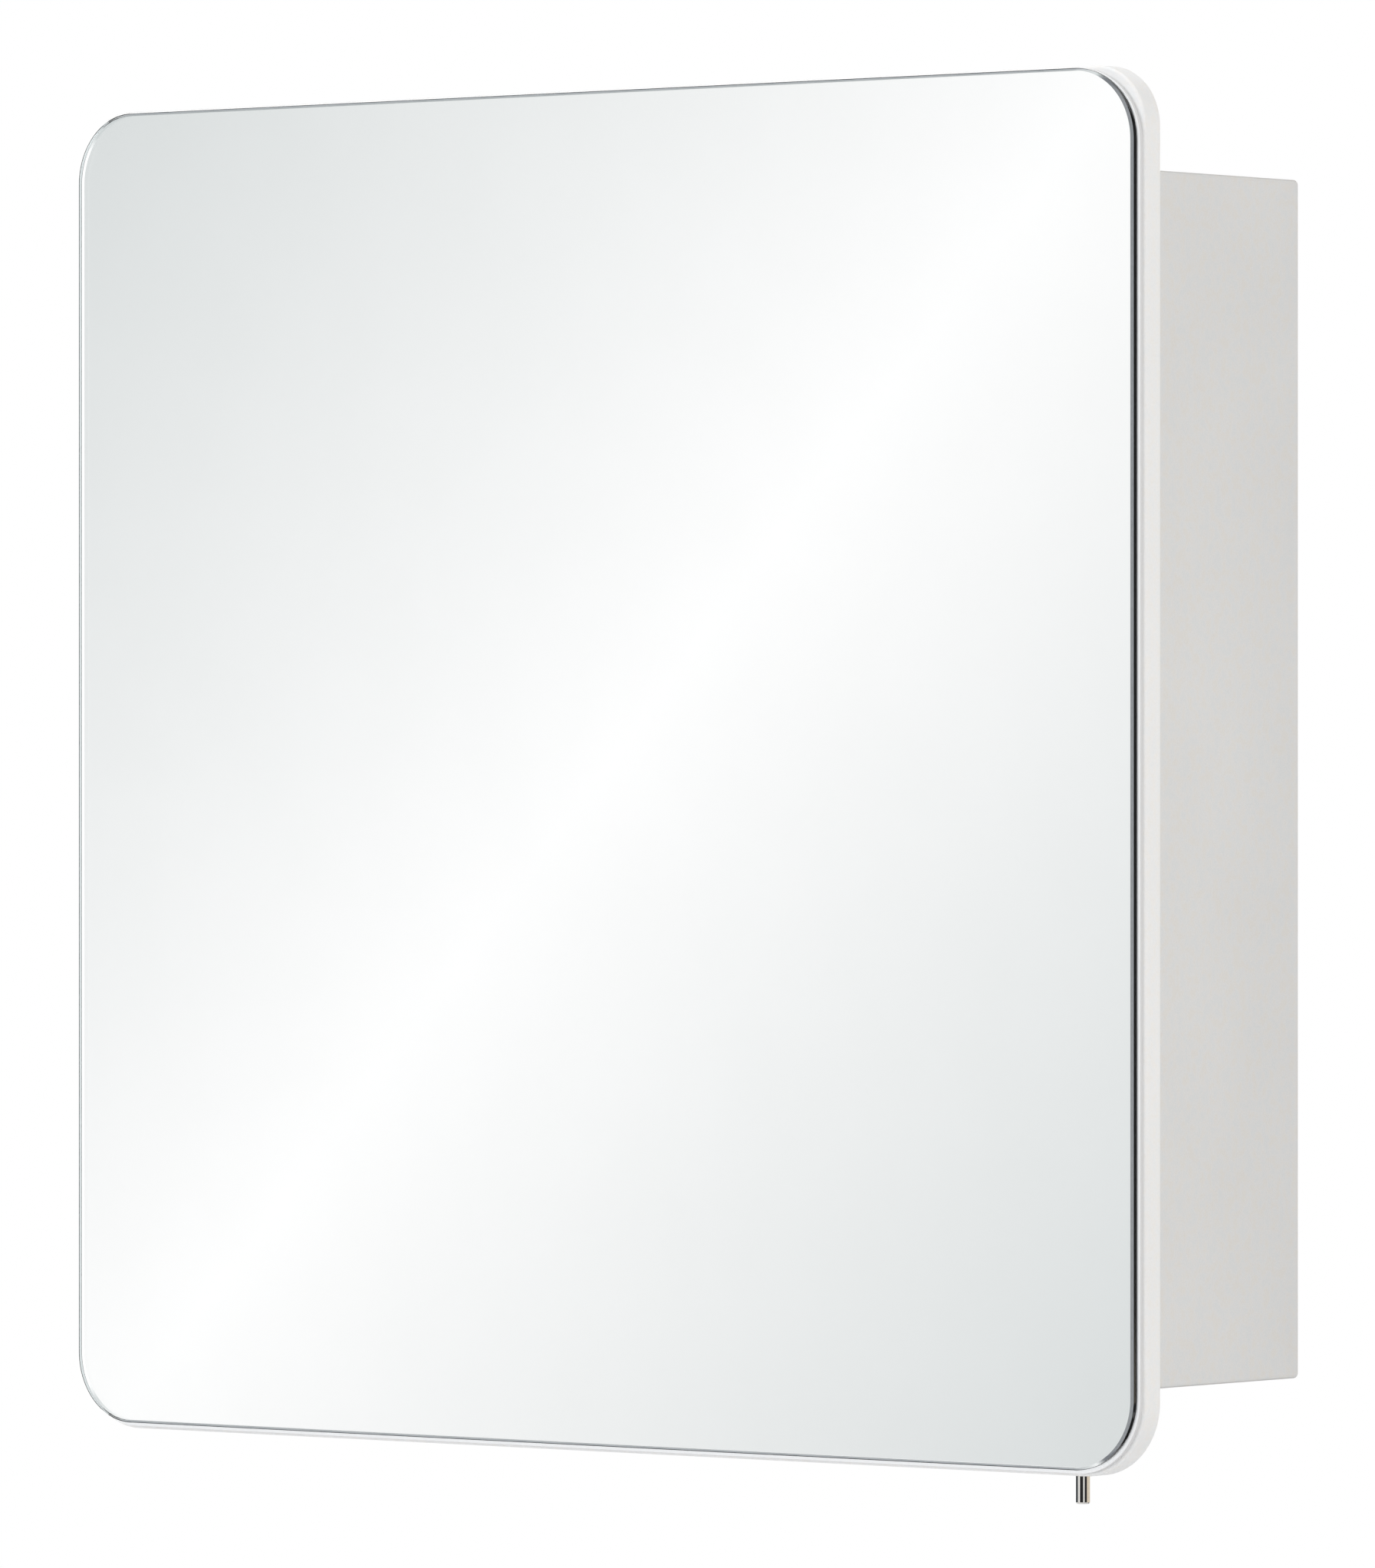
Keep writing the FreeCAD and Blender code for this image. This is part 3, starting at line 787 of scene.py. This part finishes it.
def makeLowRing(p):
    ring = addDrum("lowRing", p["radius"], p["height"], p["level"])
    material, tree = newGlow("lowRing")
    place = addPlace(tree)
    angle = addMath(tree, "ARCTAN2", place["Y"], place["X"])
    turns = addMath(tree, "ADD", addMath(tree, "MULTIPLY", angle, 1 / fullTurn), ringStart)
    stops = [((azimuth + 180) / 360, p[name]) for azimuth, name, cover in p["stretches"]]
    tone = addRamp(tree, addMath(tree, "FRACT", turns), stops)
    ramp = tone.node
    for element, (azimuth, name, cover) in zip(ramp.color_ramp.elements, p["stretches"]):
        element.color[3] = cover
    soft = addFade(tree, place["Z"], p["level"], p["height"] / 2, p["fade"])
    cover = addMath(tree, "MULTIPLY", soft, ramp.outputs["Alpha"])
    # metal shows the ring, and the silver behind the glass doesn't
    path = tree.nodes.new("ShaderNodeLightPath")
    both = addMath(tree, "MINIMUM", path.outputs["Glossy Depth"], path.outputs["Transmission Depth"])
    cover = addMath(tree, "MULTIPLY", cover, addMath(tree, "LESS_THAN", both, 1))
    lightUp(ring, material, tone, cover)


makeLowRing(lowRing)


# soft lamps, and a world that is white where it is seen and half as bright where it lights
lampSetup = [
    {"name": "topSoftbox", "place": (-0.2, -0.5, 2.1), "aim": (0, -0.07, 0), "size": (2.2, 2.2),
     "power": 20, "colour": white},
    {"name": "frontSoftbox", "place": (-5.7, -8.7, 2.7), "aim": (0, -0.07, 0), "size": (5.4, 5.4),
     "power": 560, "colour": (0.97, 0.98, 1.0)},
    {"name": "sideStrip", "place": (0.56, -0.128, 0.20), "aim": (0.218, -0.128, 0.20), "size": (0.12, 1.4),
     "power": 1.04, "colour": (1.0, 0.97, 0.92)},
    {"name": "lowFill", "place": (0.2, -1.2, -1.15), "aim": (0, -0.14, -0.2), "size": (1.6, 1.0),
     "power": 2.6, "colour": white},
]
worldSetup = {"ambient": (0.50, 0.503, 0.51)}


def makeLamps(lamps):
    for p in lamps:
        deselectAll()
        bpy.ops.object.light_add(type="AREA", location=p["place"])
        lamp = bpy.context.object
        lamp.name = p["name"]
        lamp.data.shape = "RECTANGLE"
        lamp.data.size, lamp.data.size_y = p["size"]
        lamp.data.energy = p["power"]
        lamp.data.color = p["colour"]
        way = Vector(p["aim"]) - Vector(p["place"])
        lamp.rotation_euler = way.to_track_quat("-Z", "Y").to_euler()
        lamp.visible_camera = False
        lamp.visible_glossy = False
        lamp.visible_transmission = False


def makeWorld(p):
    world = bpy.data.worlds.new("studio")
    bpy.context.scene.world = world
    world.use_nodes = True
    tree = world.node_tree
    lit = tree.nodes["Background"]
    lit.inputs["Color"].default_value = (*p["ambient"], 1)
    seen = tree.nodes.new("ShaderNodeBackground")
    seen.inputs["Color"].default_value = (*white, 1)
    path = tree.nodes.new("ShaderNodeLightPath")
    either = path.outputs["Is Camera Ray"]
    for name in ("Is Glossy Ray", "Is Transmission Ray"):
        either = addMath(tree, "MAXIMUM", either, path.outputs[name])
    look = addMix(tree, either, lit.outputs[0], seen.outputs[0])
    tree.links.new(look, tree.nodes["World Output"].inputs["Surface"])


makeLamps(lampSetup)
makeWorld(worldSetup)
print("floor, screen and light made")


# camera, to the right of the cabinet and level with it
cameraSetup = {"aim": (0, -0.1454, 0.004), "turn": 38.55, "distance": 4.016, "sideways": 0.0377,
               "raise": 0.0055, "lens": 251.93, "sensor": 36, "shiftUp": -0.01977, "farthest": 100}


def makeCamera(p):
    turn = math.radians(p["turn"])
    forward = Vector((-math.sin(turn), math.cos(turn), 0))
    sideways = Vector((math.cos(turn), math.sin(turn), 0))
    place = Vector(p["aim"]) - forward * p["distance"] + sideways * p["sideways"]
    place.z += p["raise"]
    deselectAll()
    bpy.ops.object.camera_add(location=place, rotation=(math.pi / 2, 0, turn))
    camera = bpy.context.object
    camera.name = "photoCamera"
    camera.data.lens = p["lens"]
    camera.data.sensor_width = p["sensor"]
    camera.data.shift_y = p["shiftUp"]
    camera.data.clip_end = p["farthest"]
    bpy.context.scene.camera = camera


makeCamera(cameraSetup)
bpy.context.scene.view_settings.view_transform = "Standard"

bpy.context.view_layer.update()
print("scene ready")
